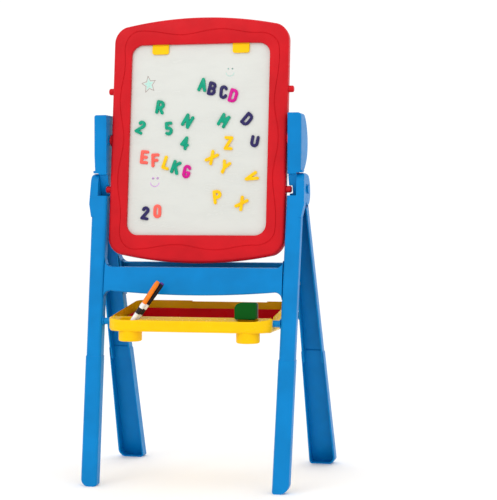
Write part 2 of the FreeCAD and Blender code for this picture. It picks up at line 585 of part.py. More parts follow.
# ---------------------------------------------------------------- magnets
GLYPHS = {
    "A": [("line", 0, 0, 0.5, 1), ("line", 1, 0, 0.5, 1), ("line", 0.2, 0.35, 0.8, 0.35)],
    "B": [("line", 0, 0, 0, 1), ("line", 0, 1, 0.4, 1), ("line", 0, 0.52, 0.45, 0.52),
          ("line", 0, 0, 0.45, 0), ("arc", 0.4, 0.76, 0.44, -90, 90),
          ("arc", 0.45, 0.26, 0.47, -90, 90)],
    "C": [("arc", 0.5, 0.76, 0.42, 15, 180), ("line", 0.08, 0.76, 0.08, 0.24),
          ("arc", 0.5, 0.24, 0.42, 180, 345)],
    "D": [("line", 0, 0, 0, 1), ("line", 0, 1, 0.4, 1), ("line", 0, 0, 0.4, 0),
          ("arc", 0.4, 0.7, 0.55, 0, 90), ("line", 0.95, 0.7, 0.95, 0.3),
          ("arc", 0.4, 0.3, 0.55, -90, 0)],
    "E": [("line", 0, 0, 0, 1), ("line", 0, 1, 0.9, 1), ("line", 0, 0.5, 0.75, 0.5),
          ("line", 0, 0, 0.9, 0)],
    "F": [("line", 0, 0, 0, 1), ("line", 0, 1, 0.9, 1), ("line", 0, 0.5, 0.7, 0.5)],
    "G": [("arc", 0.5, 0.76, 0.42, 20, 180), ("line", 0.08, 0.76, 0.08, 0.24),
          ("arc", 0.5, 0.24, 0.42, 180, 360), ("line", 0.92, 0.24, 0.92, 0.42),
          ("line", 0.92, 0.42, 0.6, 0.42)],
    "H": [("line", 0, 0, 0, 1), ("line", 1, 0, 1, 1), ("line", 0, 0.5, 1, 0.5)],
    "K": [("line", 0, 0, 0, 1), ("line", 0, 0.45, 0.9, 1), ("line", 0.3, 0.6, 0.95, 0)],
    "L": [("line", 0.1, 0, 0.1, 1), ("line", 0.1, 0, 0.9, 0)],
    "M": [("line", 0, 0, 0, 1), ("line", 1, 0, 1, 1), ("line", 0, 1, 0.5, 0.4),
          ("line", 1, 1, 0.5, 0.4)],
    "N": [("line", 0, 0, 0, 1), ("line", 1, 0, 1, 1), ("line", 0, 1, 1, 0)],
    "P": [("line", 0, 0, 0, 1), ("line", 0, 1, 0.45, 1), ("line", 0, 0.46, 0.45, 0.46),
          ("arc", 0.45, 0.73, 0.49, -90, 90)],
    "R": [("line", 0, 0, 0, 1), ("line", 0, 1, 0.45, 1), ("line", 0, 0.46, 0.45, 0.46),
          ("arc", 0.45, 0.73, 0.49, -90, 90), ("line", 0.4, 0.46, 0.95, 0)],
    "T": [("line", 0.5, 0, 0.5, 1), ("line", 0, 1, 1, 1)],
    "U": [("line", 0.05, 1, 0.05, 0.45), ("line", 0.95, 1, 0.95, 0.45),
          ("arc", 0.5, 0.45, 0.45, 180, 360)],
    "V": [("line", 0, 1, 0.5, 0), ("line", 1, 1, 0.5, 0)],
    "X": [("line", 0, 0, 1, 1), ("line", 0, 1, 1, 0)],
    "Y": [("line", 0.5, 0, 0.5, 0.45), ("line", 0, 1, 0.5, 0.45), ("line", 1, 1, 0.5, 0.45)],
    "Z": [("line", 0, 1, 1, 1), ("line", 1, 1, 0, 0), ("line", 0, 0, 1, 0)],
    "0": [("arc", 0.5, 0.76, 0.42, 0, 180), ("line", 0.08, 0.76, 0.08, 0.24),
          ("line", 0.92, 0.76, 0.92, 0.24), ("arc", 0.5, 0.24, 0.42, 180, 360)],
    "2": [("arc", 0.5, 0.77, 0.4, -20, 170), ("line", 0.88, 0.68, 0.05, 0),
          ("line", 0.05, 0, 0.95, 0)],
    "4": [("line", 0.7, 0, 0.7, 1), ("line", 0.7, 1, 0, 0.35), ("line", 0, 0.35, 1, 0.35)],
    "5": [("line", 0.9, 1, 0.15, 1), ("line", 0.15, 1, 0.15, 0.56),
          ("line", 0.15, 0.56, 0.45, 0.56), ("arc", 0.45, 0.28, 0.48, -130, 90)],
}

# colour: (character, X, height above the pivot along the board, turn to the right)
MAGNETS = {
    "green": [("A", 6, 119, 8), ("R", -87, 71, 8), ("2", -130, 28, 25), ("5", -67, 24, -4),
              ("N", -25, 40, 30), ("M", 55, 40, 30), ("4", -30, -8, 8), ("K", -48, -61, 18)],
    "navy": [("B", 28, 110, 12), ("C", 53, 102, 4), ("D", 107, 42, 40), ("U", 124, -8, 10),
             ("2", -114, -160, 8)],
    "magenta": [("D", 75, 94, 15), ("G", -24, -70, 12)],
    "coral": [("E", -119, -38, 5), ("F", -94, -45, -2), ("0", -87, -156, 0)],
    "yellow": [("Z", 67, -9, 3), ("L", -69, -51, 18), ("X", 31, -40, 38), ("Y", 60, -61, 25),
               ("V", 119, -83, 70), ("P", 46, -125, -8), ("X", 99, -139, 35)],
}


def stroke_band(kind, values, width, thick):
    """One pen stroke of a character: a bar or a part ring with round ends."""
    sx, sz = MAGNET_W - width, MAGNET_H - width
    if kind == "line":
        x0, z0, x1, z1 = values
        a = vec((x0 - 0.5) * sx, 0, (z0 - 0.5) * sz)
        b = vec((x1 - 0.5) * sx, 0, (z1 - 0.5) * sz)
        along = b - a
        bar = Part.makeBox(along.Length, thick, width, vec(0, 0, -0.5 * width))
        bar.rotate(ORIGIN, Y_AXIS, -math.degrees(math.atan2(along.z, along.x)))
        bar.translate(a)
        ends = [a, b]
        shape = bar
    else:
        cx, cz, radius, start, stop = values
        centre = vec((cx - 0.5) * sx, 0, (cz - 0.5) * sz)
        big = radius * sx
        ring = Part.makeCylinder(big + 0.5 * width, thick, ORIGIN, Y_AXIS, stop - start)
        core = Part.makeCylinder(max(big - 0.5 * width, 0.4), thick * 3, vec(0, -thick, 0), Y_AXIS)
        ring = ring.cut(core)
        ring.rotate(ORIGIN, Y_AXIS, 90 - stop)
        ring.translate(centre)
        shape = ring
        ends = [centre + vec(big * math.cos(math.radians(t)), 0, big * math.sin(math.radians(t)))
                for t in (start, stop)]
    for end in ends:
        shape = shape.fuse(Part.makeCylinder(0.5 * width, thick, end, Y_AXIS))
    return shape


def magnet(character, x, z, turn):
    shape = None
    for kind, *values in GLYPHS[character]:
        band = stroke_band(kind, values, MAGNET_STROKE, MAGNET_THICK)
        shape = band if shape is None else shape.fuse(band)
    shape = shape.removeSplitter()
    shape.rotate(ORIGIN, Y_AXIS, turn)
    shape.translate(vec(x, -PANEL_FACE - MAGNET_THICK, z))
    return on_board(shape)


# ---------------------------------------------------------------- tray
def tray_plan(inset, z0, z1, front=TRAY_FRONT, front_r=45.0, back_r=22.0):
    half = TRAY_HALF_W - inset
    near, far = front + inset, TRAY_BACK - inset
    nr, br = max(front_r - inset, 3), max(back_r - inset, 3)
    return plan_prism([(-half, near, nr), (half, near, nr), (half, far, br), (-half, far, br)],
                      z0, z1)


def tray_top(drop, x0=-200, x1=200):
    """Everything above the sloping rim, less `drop`."""
    slope = (TRAY_RIM_BACK - TRAY_RIM_FRONT) / (TRAY_BACK - TRAY_FRONT)
    z_near = TRAY_RIM_FRONT - 15 * slope - drop
    z_far = TRAY_RIM_BACK + 39 * slope - drop
    return side_prism([(TRAY_FRONT - 15, z_near, 0), (TRAY_BACK + 39, z_far, 0),
                       (TRAY_BACK + 39, 460, 0), (TRAY_FRONT - 15, 460, 0)], x0, x1)


def turned(y, z, centre_y, centre_z, degrees):
    """A point turned about an X axis by the right-hand rule."""
    c, s = math.cos(math.radians(degrees)), math.sin(math.radians(degrees))
    dy, dz = y - centre_y, z - centre_z
    return centre_y + c * dy - s * dz, centre_z + s * dy + c * dz


def front_peg_path(r, x0, x1):
    """Room that the front peg needs as the tray drops away from it while the frame folds."""
    spots = []
    for step in range(0, 13):
        fold = 0.25 * step
        y, z = turned(FRONT_PIN_Y, FRONT_PIN_Z, HINGE_Y, HINGE_Z, fold)
        spots.append(turned(y, z, REAR_PIN_Y, REAR_PIN_Z, -TRAY_RATIO * fold))
    room = None
    for (ya, za), (yb, zb) in zip(spots, spots[1:]):
        run = rod(r, x0, x1, ya, za).fuse(rod(r, x0, x1, yb, zb))
        along = vec(0, yb - ya, zb - za)
        bar = Part.makeBox(x1 - x0, along.Length, 2 * r, vec(x0, 0, -r))
        bar.rotate(ORIGIN, X_AXIS, math.degrees(math.atan2(along.z, along.y)))
        bar.translate(vec(0, ya, za))
        run = run.fuse(bar)
        room = run if room is None else room.fuse(run)
    return room


def tray_body():
    outer = tray_plan(0, TRAY_FLOOR, 400)
    outer = outer.cut(tray_top(0))
    outer = soften(outer, 9, lambda e: e.CenterOfMass.z < TRAY_FLOOR + 0.1)
    outer = soften(outer, RIM_R, lambda e: e.CenterOfMass.z > TRAY_RIM_FRONT - 1)
    well = tray_plan(WALL, TRAY_FLOOR + WALL, 400, LEDGE_BACK - WALL, 8.0)
    ledge_room = tray_plan(WALL, TRAY_FLOOR, 400).cut(tray_top(-30)).common(
        tray_top(LEDGE_DROP)).common(box(-200, 200, -250, LEDGE_BACK, 300, 420))
    under = tray_plan(WALL, TRAY_FLOOR - 5, 400).cut(tray_top(LEDGE_DROP + WALL)).common(
        box(-200, 200, -250, LEDGE_BACK - WALL, 300, 420))
    rim_dip = tray_top(RIM_DIP, *RIM_DIP_X).common(box(-200, 200, TRAY_BACK - 10, 80, 300, 460))
    body = outer.cut(well).cut(ledge_room).cut(under).cut(rim_dip)
    for x in (-CUP_X, CUP_X):
        body = body.cut(Part.makeCylinder(CUP_R + 0.2, 200, vec(x, CUP_Y, 250), Z_AXIS))
    boss = rod(11, TRAY_HALF_W - 9, TRAY_HALF_W, REAR_PIN_Y, REAR_PIN_Z)
    boss = boss.common(tray_plan(0, 300, 400))
    front_boss = rod(11, TRAY_HALF_W - 9, TRAY_HALF_W, FRONT_PIN_Y, FRONT_PIN_Z)
    front_boss = front_boss.common(outer)
    for piece in (boss, front_boss):
        body = body.fuse(piece).fuse(mirrored(piece))
    hole = rod(TRAY_PIN_R + RUN, TRAY_HALF_W - 6.5, TRAY_HALF_W + 5, REAR_PIN_Y, REAR_PIN_Z)
    path = front_peg_path(TRAY_PIN_R + 0.35, TRAY_HALF_W - 6.5, TRAY_HALF_W + 5)
    for piece in (hole, path):
        body = body.cut(piece).cut(mirrored(piece))
    return body.removeSplitter()


def tray_cup(x):
    """Deep cup that hangs under a front corner of the tray."""
    cup = Part.makeCylinder(CUP_R, 60, vec(x, CUP_Y, CUP_FLOOR), Z_AXIS)
    cup = soften(cup, 4, lambda e: e.CenterOfMass.z < CUP_FLOOR + 0.1)
    cup = cup.cut(Part.makeCylinder(CUP_R - 2.5, 100, vec(x, CUP_Y, CUP_FLOOR + 2.5), Z_AXIS))
    return cup.cut(tray_top(LEDGE_DROP))


def tray_liner():
    """Red liner that drops into the tray's well."""
    floor = TRAY_FLOOR + WALL
    near = LEDGE_BACK
    outer = tray_plan(WALL + 9.5, floor, 400, near - WALL - 9.0, 14.0, 20.0)
    outer = outer.cut(tray_top(LINER_DROP))
    inner = tray_plan(WALL + 11.5, floor + 2, 400, near - WALL - 9.0, 13.0, 19.0)
    return outer.cut(inner)


# ---------------------------------------------------------------- drawing tools
def marker_frame(shape, which):
    """Stand a shape built up the Z axis in the cup, leaning to the right."""
    x, y, lean = MARKERS[which]
    moved = shape.copy()
    moved.rotate(ORIGIN, Y_AXIS, lean)
    moved.translate(vec(x, y, MARKER_BASE_Z))
    return moved


def marker_body(which):
    length = MARKER_LENGTH * MARKER_BARREL
    barrel = Part.makeCylinder(MARKER_R, length, ORIGIN, Z_AXIS)
    neck = Part.makeCylinder(MARKER_R * 0.8, 8, vec(0, 0, length), Z_AXIS)
    barrel = soften(barrel, 1.5, lambda e: e.CenterOfMass.z < 0.1)
    return marker_frame(barrel.fuse(neck), which)


def marker_cap(which):
    base = MARKER_LENGTH * MARKER_BARREL
    cap = Part.makeCylinder(MARKER_R, MARKER_LENGTH - base, vec(0, 0, base), Z_AXIS)
    cap = soften(cap, 2.0, lambda e: e.CenterOfMass.z > MARKER_LENGTH - 0.1)
    cap = cap.cut(Part.makeCylinder(MARKER_R * 0.8, 8.2, vec(0, 0, base), Z_AXIS))
    return marker_frame(cap, which)


def eraser(part):
    """Block eraser that stands over the right cup: a felt pad on a moulded back."""
    x0, x1 = ERASER_X
    z0, z1 = ERASER_Z
    front, joint, rear = ERASER_Y
    y0, y1 = (front, joint) if part == "back" else (joint, rear)
    return front_prism([(x0, z0, 4), (x1, z0, 4), (x1, z1, 5), (x0, z1, 14)], y0, y1)


# ---------------------------------------------------------------- make every sub-part
def main():
    os.makedirs("parts", exist_ok=True)
    save_pair("front_lower_leg", front_lower_leg())
    save_pair("front_upper_leg", front_upper_leg())
    save("front_crossbar", crossbar(True))
    save("front_crossbar_screws", crossbar_screws(True))
    save_pair("fold_pin", fold_pin())
    save_pair("front_tray_peg", tray_pin(True))

    save_pair("rear_lower_leg", rear_lower_leg())
    save_pair("rear_upper_leg", rear_upper_leg())
    save_pair("hub_cover", hub_cover())
    save("rear_crossbar", crossbar(False))
    save("rear_crossbar_screws", crossbar_screws(False))
    save_pair("rear_tray_peg", tray_pin(False))

    save("board_front_frame", frame_shell(True))
    save("board_rear_frame", frame_shell(False))
    save("whiteboard_panel", panel(-PANEL_FACE, -CORE_HALF))
    save("board_core", board_core())
    save("chalkboard_panel", panel(CORE_HALF, PANEL_FACE))
    save_pair("board_pivot", board_pivots())
    save_pair("index_pins", index_pins())
    save("board_frame_screws", frame_screws())
    for side, x in zip(("left", "right"), CLIP_X):
        save(side + "_paper_clip", paper_clip(x))
    for colour, letters in MAGNETS.items():
        save(colour + "_magnets", Part.makeCompound([magnet(*letter) for letter in letters]))

    save("tray_body", tray_body())
    save("tray_liner", tray_liner())
    for side, x in zip(("left", "right"), (-CUP_X, CUP_X)):
        save(side + "_tray_cup", tray_cup(x))
    for side in MARKERS:
        save(side + "_marker_body", marker_body(side))
        save(side + "_marker_cap", marker_cap(side))
    save("eraser_back", eraser("back"))
    save("eraser_felt", eraser("felt"))


main()
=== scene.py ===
import json
import math

import bmesh
import bpy
from bpy.props import FloatProperty, IntProperty, PointerProperty, StringProperty
from mathutils import Matrix, Vector


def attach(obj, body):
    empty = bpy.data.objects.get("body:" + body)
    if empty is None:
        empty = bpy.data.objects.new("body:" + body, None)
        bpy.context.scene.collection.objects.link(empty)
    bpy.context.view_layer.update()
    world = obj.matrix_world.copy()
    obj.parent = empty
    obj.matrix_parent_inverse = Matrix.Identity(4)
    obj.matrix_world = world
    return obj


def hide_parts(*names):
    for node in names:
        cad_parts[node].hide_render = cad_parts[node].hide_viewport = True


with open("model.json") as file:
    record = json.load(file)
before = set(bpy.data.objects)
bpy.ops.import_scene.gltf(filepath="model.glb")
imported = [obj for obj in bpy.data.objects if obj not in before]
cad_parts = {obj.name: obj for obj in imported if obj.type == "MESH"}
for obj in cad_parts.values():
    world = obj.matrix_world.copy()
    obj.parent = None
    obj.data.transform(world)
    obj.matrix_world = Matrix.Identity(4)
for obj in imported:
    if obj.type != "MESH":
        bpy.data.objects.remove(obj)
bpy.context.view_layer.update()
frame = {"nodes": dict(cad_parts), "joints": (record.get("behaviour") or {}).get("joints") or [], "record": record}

bl_info = {
    "name": "Kids Easel",
    "version": (1, 0, 0),
    "blender": (4, 5, 0),
    "location": "View3D > Sidebar > Easel",
    "description": "Finishes a folding children's easel: mouldings, turning board, tray and drawing tools",
    "category": "Object",
}

MM = 0.001
WELD = 0.01 * MM                 # vertices nearer than this are one
BOARD_LEAN = math.radians(6.58)
PIVOT = Vector(next(j["pos_m"] for j in frame["joints"] if j["name"] == "board_flip"))
# from a board built upright about its pivot to its leaning place on the easel
BOARD_PLACE = Matrix.Translation(PIVOT) @ Matrix.Rotation(-BOARD_LEAN, 4, "X")
SLOT_OF = {s["node"]: s["material_slot"] for s in frame["record"]["subparts"]}
BODY_OF = {node: body for body, nodes in frame["record"]["behaviour"]["bodies"].items()
           for node in nodes}
MAGNET_COLOURS = ("green", "navy", "magenta", "coral", "yellow")

# board frame, measured from the pivot: each shell lies between the parting plane and its face
SHELL = 14.0 * MM                # thickness of one shell
FRAME_SIDE = 194.5 * MM          # half width over the straight sides
FRAME_TOP = 267.0 * MM           # half height at the top of the arch
FRAME_ARCH_R = 818.0 * MM        # radius of the arches at the top and bottom
FRAME_CORNER = (156.05 * MM, 213.35 * MM, 38.45 * MM)   # centre of a corner's arc, and its radius
FRAME_EDGE_R = 7.0 * MM          # rounding of the outer edge
OPENING = (154.0 * MM, 208.0 * MM, 25.0 * MM)           # half width, half height, corner radius
OPENING_LIP_R = 2.0 * MM         # rounding of the opening's edge
POCKET = (160.3 * MM, 214.3 * MM, 12.0 * MM)            # holds the panels
REBATE = 6.1 * MM                # the pocket ends this far from the parting plane
PANEL_FACE = 6.0 * MM            # half the thickness of the panels together
CLIP_X = (-90.0 * MM, 89.5 * MM)                        # middles of the two paper clips
CLIP_Z = 212.0 * MM              # height of the paper clips' hinge
CLIP_SLOT_HALF = 21.0 * MM       # half the length of the slot for a clip's barrel
CLIP_SLOT_TOP = 217.0 * MM
SLOT_ROOF = -11.75 * MM          # depth that the slot is cut out to
RING_STEPS = 720                 # vertices round the frame
EDGE_STEPS = 6                   # facets across the outer rounding
LIP_STEPS = 4                    # facets across the opening's rounding
WAVE_PATH = (171.5 * MM, 234.0 * MM, 38.0 * MM)         # rounded oblong that the wave swings about
# across the groove: place in half widths, and depth as a share of the full depth
GROOVE_PROFILE = ((1.0, 0.0), (0.62, 0.62), (0.25, 1.0), (-0.25, 1.0), (-0.62, 0.62), (-1.0, 0.0))

# pen marks on the dry-wipe panel
STROKE_THICKNESS = 0.12 * MM
STROKE_LIFT = 0.03 * MM          # from the panel's face to the middle of a stroke
STROKE_OVERLAP = 0.6             # lengthening at a stroke's corners, in pen widths
PATCH_HALF = 0.05 * MM           # half the thickness of a filled patch
STAR = (-115.0 * MM, 122.0 * MM)        # its middle
STAR_POINTS = 5
STAR_RADII = (19.0 * MM, 9.0 * MM)      # of its points and of the notches between them
STAR_NARROWING = 0.85            # width against height
STAR_FILL = 0.7                  # size of the filled patch against the outline

# stage
FLOOR_HALF = 30.0                # metres
SKY_STRENGTH = 1.06
LAMP_AIM = (0.0, -0.07, 0.55)
# name, place, width in metres and power in watts
LAMPS = (("key_light", (-1.2, -2.8, 2.8), 1.6, 16.0),
         ("fill_light", (2.8, -2.2, 1.6), 2.0, 4.0),
         ("top_light", (0.2, 0.3, 3.2), 1.6, 8.0))
CAMERA_PLACE = (0.8038, -3.1882, 0.5858)
CAMERA_AZIMUTH = math.radians(12.623)   # from straight in front towards +X
CAMERA_PITCH = math.radians(1.585)      # looking down
SENSOR_WIDTH = 36.0              # millimetres, as Blender's camera takes it
FOCAL_LENGTH = 107.28            # millimetres
LENS_SHIFT = 0.004               # to the side, as a share of the picture's longer side
VIEW_DEPTH = 200.0               # metres


# ------------------------------------------------------------------ sizes and colours
class EASEL_PG_colours(bpy.types.PropertyGroup):
    """Hex colours of the mouldings and finishes"""
    leg_blue: StringProperty(name="Leg blue", description="Moulded legs and hubs", default="#007DC1")
    frame_red: StringProperty(name="Frame red", description="Board frame", default="#C8141E")
    liner_red: StringProperty(name="Liner red", description="Tray liner", default="#E00A18")
    tray_yellow: StringProperty(name="Tray yellow", description="Tray and clips", default="#FBC400")
    enamel_white: StringProperty(name="Enamel white", description="Dry-wipe panel", default="#D2D3CD")
    slate: StringProperty(name="Slate", description="Chalk panel", default="#23282A")
    magnet_green: StringProperty(name="Magnet green", description="Green magnets", default="#009A78")
    magnet_navy: StringProperty(name="Magnet navy", description="Navy magnets", default="#2A2258")
    magnet_magenta: StringProperty(name="Magnet magenta", description="Magenta magnets", default="#D0108C")
    magnet_coral: StringProperty(name="Magnet coral", description="Coral magnets", default="#F86458")
    magnet_yellow: StringProperty(name="Magnet yellow", description="Yellow magnets", default="#FFC400")
    eraser_green: StringProperty(name="Eraser green", description="Eraser back", default="#00500F")


class EASEL_PG_sizes(bpy.types.PropertyGroup):
    """Sizes of the surface detail, in metres"""
    moulding_grain: FloatProperty(name="Moulding grain", description="Spacing of the moulded grain",
                                  default=0.7 * MM, min=0.0001, unit="LENGTH")
    wave_swing: FloatProperty(name="Wave swing", description="How far the frame's wavy line swings",
                              default=5.5 * MM, min=0.0, unit="LENGTH")
    wave_count: IntProperty(name="Waves", description="Waves round the board frame", default=9, min=1)
    groove_width: FloatProperty(name="Groove width", description="Width of the wavy groove",
                                default=2.4 * MM, min=0.0005, unit="LENGTH")
    groove_depth: FloatProperty(name="Groove depth", description="Depth of the wavy groove",
                                default=1.2 * MM, min=0.0, unit="LENGTH")
    magnet_edge: FloatProperty(name="Magnet edge", description="Rounding of the magnets' front edges",
                               default=1.2 * MM, min=0.0, unit="LENGTH")


# ------------------------------------------------------------------ colour and node helpers
def linear(hex_colour):
    """sRGB hex colour to the linear RGBA that shaders use."""
    parts = [int(hex_colour[i:i + 2], 16) / 255 for i in (1, 3, 5)]
    return [c / 12.92 if c <= 0.04045 else ((c + 0.055) / 1.055) ** 2.4 for c in parts] + [1.0]


def add_node(tree, kind, links=None, inputs=None, **settings):
    """Add a shader node with its settings, its fixed inputs and its incoming links."""
    made = tree.nodes.new("ShaderNode" + kind)
    for key, value in settings.items():
        setattr(made, key, value)
    for key, value in (inputs or {}).items():
        made.inputs[key].default_value = value
    for key, source in (links or {}).items():
        tree.links.new(source, made.inputs[key])
    return made


def new_material(name):
    """Empty node material with a Principled shader; returns the material, tree and shader."""
    material = bpy.data.materials.new(name)
    material.use_nodes = True
    tree = material.node_tree
    shader = next(n for n in tree.nodes if n.type == "BSDF_PRINCIPLED")
    return material, tree, shader


def set_inputs(shader, **values):
    """Set a shader's inputs by name, with _ for a space."""
    for key, value in values.items():
        shader.inputs[key.replace("_", " ")].default_value = value


def colour_ramp(tree, source, low, high, start=0.35, stop=0.65):
    """Colour that runs from low to high as source goes from start to stop."""
    ramp = add_node(tree, "ValToRGB", links={"Fac": source})
    ramp.color_ramp.elements[0].position = start
    ramp.color_ramp.elements[0].color = low
    ramp.color_ramp.elements[1].position = stop
    ramp.color_ramp.elements[1].color = high
    return ramp.outputs["Color"]


def shade(colour, factor):
    """A linear colour made darker or lighter."""
    return [min(1.0, c * factor) for c in colour[:3]] + [1.0]


# ------------------------------------------------------------------ materials
def moulded_polypropylene(name, hex_colour, roughness=0.36, spread=0.06, bump=0.05):
    """Injection-moulded polypropylene: clear even colour, a satin skin with a fine grain."""
    sizes = bpy.context.scene.easel_sizes
    material, tree, shader = new_material(name)
    place = add_node(tree, "TexCoord").outputs["Object"]
    grain = add_node(tree, "TexNoise", links={"Vector": place},
                     inputs={"Scale": 1.0 / sizes.moulding_grain, "Detail": 3.0})
    # flow marks left by the mould, about 60 mm across
    flow = add_node(tree, "TexNoise", links={"Vector": place},
                    inputs={"Scale": 1.0 / (60 * MM), "Detail": 2.0, "Roughness": 0.6})
    base = linear(hex_colour)
    colour = colour_ramp(tree, flow.outputs["Fac"], shade(base, 1 - spread), shade(base, 1 + spread))
    tree.links.new(colour, shader.inputs["Base Color"])
    # scuffs: short patches, about 9 mm, where the satin skin is duller
    scuff = add_node(tree, "TexNoise", links={"Vector": place},
                     inputs={"Scale": 1.0 / (9 * MM), "Detail": 4.0, "Roughness": 0.65})
    rough = add_node(tree, "MapRange", links={"Value": scuff.outputs["Fac"]},
                     inputs={"From Min": 0.35, "From Max": 0.75, "To Min": roughness - 0.04,
                             "To Max": roughness + 0.10})
    tree.links.new(rough.outputs["Result"], shader.inputs["Roughness"])
    skin = add_node(tree, "Bump", links={"Height": grain.outputs["Fac"]},
                    inputs={"Strength": bump, "Distance": 0.2 * MM})
    tree.links.new(skin.outputs["Normal"], shader.inputs["Normal"])
    set_inputs(shader, IOR=1.49, Specular_IOR_Level=0.12)
    return material


def dry_wipe_enamel(name, hex_colour):
    """White dry-wipe enamel on steel: glossy and hard, with faint wiped smears of old ink."""
    material, tree, shader = new_material(name)
    place = add_node(tree, "TexCoord").outputs["Object"]
    # smears follow the hand from side to side: about 156 mm long and 45 mm high
    smear_place = add_node(tree, "Mapping", links={"Vector": place}, inputs={"Scale": (4.0, 1.0, 14.0)})
    smear = add_node(tree, "TexNoise", links={"Vector": smear_place.outputs["Vector"]},
                     inputs={"Scale": 1.0 / (625 * MM), "Detail": 5.0, "Roughness": 0.7})
    base = linear(hex_colour)
    colour = colour_ramp(tree, smear.outputs["Fac"], shade(base, 0.955), shade(base, 1.02), 0.25, 0.55)
    tree.links.new(colour, shader.inputs["Base Color"])
    rough = add_node(tree, "MapRange", links={"Value": smear.outputs["Fac"]},
                     inputs={"From Min": 0.3, "From Max": 0.7, "To Min": 0.30, "To Max": 0.18})
    tree.links.new(rough.outputs["Result"], shader.inputs["Roughness"])
    set_inputs(shader, IOR=1.5)
    return material


def slate_paint(name, hex_colour):
    """Chalkboard paint: matt dark grey with the dust that wiped chalk leaves."""
    material, tree, shader = new_material(name)
    place = add_node(tree, "TexCoord").outputs["Object"]
    # wiped dust lies in streaks about 111 mm long and 30 mm high
    wiped = add_node(tree, "Mapping", links={"Vector": place},
                     inputs={"Rotation": (0.0, 0.5, 0.0), "Scale": (6.0, 1.0, 22.0)})
    dust = add_node(tree, "TexNoise", links={"Vector": wiped.outputs["Vector"]},
                    inputs={"Scale": 1.0 / (666.67 * MM), "Detail": 6.0, "Roughness": 0.72})
    base = linear(hex_colour)
    dusty = linear("#565C5E")
    colour = colour_ramp(tree, dust.outputs["Fac"], base, dusty, 0.42, 0.86)
    tree.links.new(colour, shader.inputs["Base Color"])
    # paint tooth of about 0.8 mm holds the chalk
    tooth = add_node(tree, "TexNoise", links={"Vector": place},
                     inputs={"Scale": 1.0 / (0.8 * MM), "Detail": 2.0})
    skin = add_node(tree, "Bump", links={"Height": tooth.outputs["Fac"]},
                    inputs={"Strength": 0.25, "Distance": 0.2 * MM})
    tree.links.new(skin.outputs["Normal"], shader.inputs["Normal"])
    set_inputs(shader, Roughness=0.82)
    return material


def zinc_plate(name):
    """Zinc-plated steel screws: bright metal with a faintly uneven shine."""
    material, tree, shader = new_material(name)
    place = add_node(tree, "TexCoord").outputs["Object"]
    spots = add_node(tree, "TexNoise", links={"Vector": place},
                     inputs={"Scale": 1.0 / (1.5 * MM), "Detail": 3.0})
    rough = add_node(tree, "MapRange", links={"Value": spots.outputs["Fac"]},
                     inputs={"To Min": 0.24, "To Max": 0.42})
    tree.links.new(rough.outputs["Result"], shader.inputs["Roughness"])
    set_inputs(shader, Base_Color=linear("#B9BCC2"), Metallic=1.0)
    return material


def gloss_styrene(name, hex_colour):
    """Moulded polystyrene magnets: strong colour, glossy, with soft sink marks."""
    material, tree, shader = new_material(name)
    place = add_node(tree, "TexCoord").outputs["Object"]
    sink = add_node(tree, "TexNoise", links={"Vector": place},
                    inputs={"Scale": 1.0 / (12 * MM), "Detail": 2.0})
    base = linear(hex_colour)
    colour = colour_ramp(tree, sink.outputs["Fac"], shade(base, 0.9), shade(base, 1.08))
    tree.links.new(colour, shader.inputs["Base Color"])
    skin = add_node(tree, "Bump", links={"Height": sink.outputs["Fac"]},
                    inputs={"Strength": 0.15, "Distance": 0.5 * MM})
    tree.links.new(skin.outputs["Normal"], shader.inputs["Normal"])
    set_inputs(shader, Roughness=0.24, IOR=1.59, Specular_IOR_Level=0.15)
    return material


def closed_foam(name, hex_colour):
    """Closed-cell foam eraser back: soft matt skin with fine cells."""
    material, tree, shader = new_material(name)
    place = add_node(tree, "TexCoord").outputs["Object"]
    cells = add_node(tree, "TexVoronoi", links={"Vector": place}, inputs={"Scale": 1.0 / (1.1 * MM)})
    base = linear(hex_colour)
    colour = colour_ramp(tree, cells.outputs["Distance"], shade(base, 0.8), shade(base, 1.1), 0.0, 0.6)
    tree.links.new(colour, shader.inputs["Base Color"])
    skin = add_node(tree, "Bump", links={"Height": cells.outputs["Distance"]},
                    inputs={"Strength": 0.3, "Distance": 0.3 * MM})
    tree.links.new(skin.outputs["Normal"], shader.inputs["Normal"])
    set_inputs(shader, Roughness=0.62, Specular_IOR_Level=0.1)
    return material


def wool_felt(name, hex_colour):
    """Pressed felt: matt fibres that catch a soft edge light."""
    material, tree, shader = new_material(name)
    place = add_node(tree, "TexCoord").outputs["Object"]
    fibre = add_node(tree, "TexNoise", links={"Vector": place},
                     inputs={"Scale": 1.0 / (0.9 * MM), "Detail": 8.0, "Roughness": 0.8})
    base = linear(hex_colour)
    colour = colour_ramp(tree, fibre.outputs["Fac"], shade(base, 0.6), shade(base, 1.5), 0.3, 0.7)
    tree.links.new(colour, shader.inputs["Base Color"])
    skin = add_node(tree, "Bump", links={"Height": fibre.outputs["Fac"]},
                    inputs={"Strength": 0.7, "Distance": 0.5 * MM})
    tree.links.new(skin.outputs["Normal"], shader.inputs["Normal"])
    set_inputs(shader, Roughness=0.95, Sheen_Weight=0.4)
    return material


def dry_ink(name, hex_colour):
    """Dried marker ink: matt, streaked where the nib ran thin."""
    material, tree, shader = new_material(name)
    place = add_node(tree, "TexCoord").outputs["Object"]
    streak = add_node(tree, "TexNoise", links={"Vector": place},
                      inputs={"Scale": 1.0 / (2.5 * MM), "Detail": 4.0, "Roughness": 0.7})
    base = linear(hex_colour)
    colour = colour_ramp(tree, streak.outputs["Fac"], base, shade(base, 1.3))
    tree.links.new(colour, shader.inputs["Base Color"])
    set_inputs(shader, Roughness=0.55)
    return material


